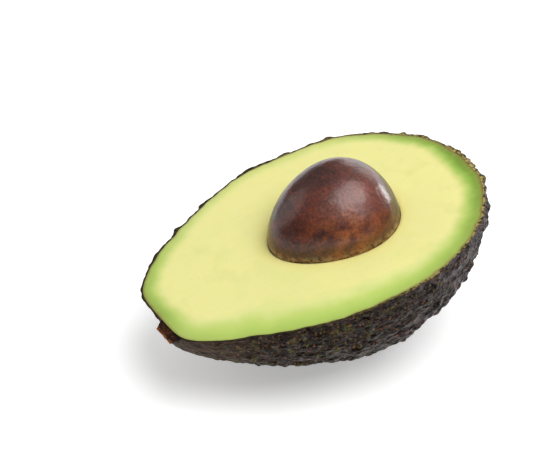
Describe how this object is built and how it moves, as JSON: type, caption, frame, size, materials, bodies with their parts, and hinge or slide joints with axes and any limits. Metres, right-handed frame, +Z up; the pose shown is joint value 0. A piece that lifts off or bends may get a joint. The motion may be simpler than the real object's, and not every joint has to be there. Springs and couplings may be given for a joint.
{
  "type": "avocado half",
  "caption": "Half an avocado cut lengthwise, with its stone in place, pebbled dark skin and a corky stem scar, lying on its back.",
  "frame": {"origin": "middle of the footprint, on the surface that the half lies on", "axes": "+X from the stem end to the blossom end, +Z up, +Y across; the cut face looks up and is tipped 12 degrees down towards the stem end"},
  "size_m": [0.1012, 0.0776, 0.0526],
  "materials": {
    "skin": "near-black purple-brown pebbled skin with a waxy sheen",
    "flesh": "moist pale yellow flesh, turning green towards the skin",
    "stone": "smooth dark reddish-brown seed coat with faint veins and a soft wet gloss",
    "stem_scar": "dry rough brown cork"
  },
  "bodies": {
    "root": {"skin": "skin", "flesh": "flesh", "stone": "stone", "stem_scar": "stem_scar"}
  },
  "joints": []
}
